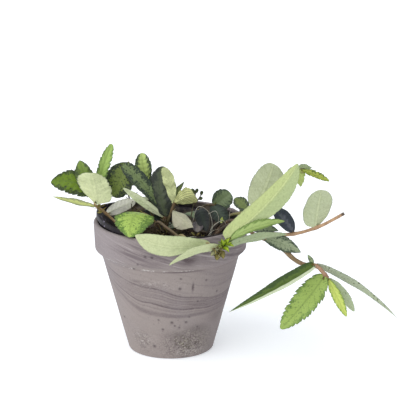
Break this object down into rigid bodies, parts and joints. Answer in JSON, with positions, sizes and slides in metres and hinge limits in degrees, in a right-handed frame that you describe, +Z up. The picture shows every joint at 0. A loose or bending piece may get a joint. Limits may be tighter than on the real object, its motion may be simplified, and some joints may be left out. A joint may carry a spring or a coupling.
{
  "type": "potted pellionia",
  "caption": "Small creeping house plant with dark-edged, toothed leaves, rooted in a thin nursery pot that stands in a tapered clay pot with a rim band.",
  "frame": {"origin": "middle of the clay pot's base, on the surface that it stands on", "axes": "+Z up; -Y is the side that faced the camera; +X is the side where the long trailing stems hang"},
  "size_m": [0.2453, 0.1504, 0.1511],
  "materials": {
    "clay": "matte, streaked and pitted grey-taupe clay",
    "black_plastic": "thin black plastic, dusty inside, glossy on the lip",
    "peat": "dark crumbly peat",
    "foliage": "satin leaves, dark green with a bright centre above and pale green below, on brown stems",
    "weed": "tiny dark leaflets"
  },
  "bodies": {
    "root": {"clay_pot": "clay", "nursery_pot": "black_plastic", "potting_mix": "peat", "left_shoot": "foliage", "centre_shoot": "foliage", "inner_shoot": "foliage", "back_right_shoot": "foliage", "front_shoot": "foliage", "cut_shoot": "foliage", "trailing_shoot": "foliage", "back_shoot": "foliage", "weed_sprig": "weed"}
  },
  "joints": []
}
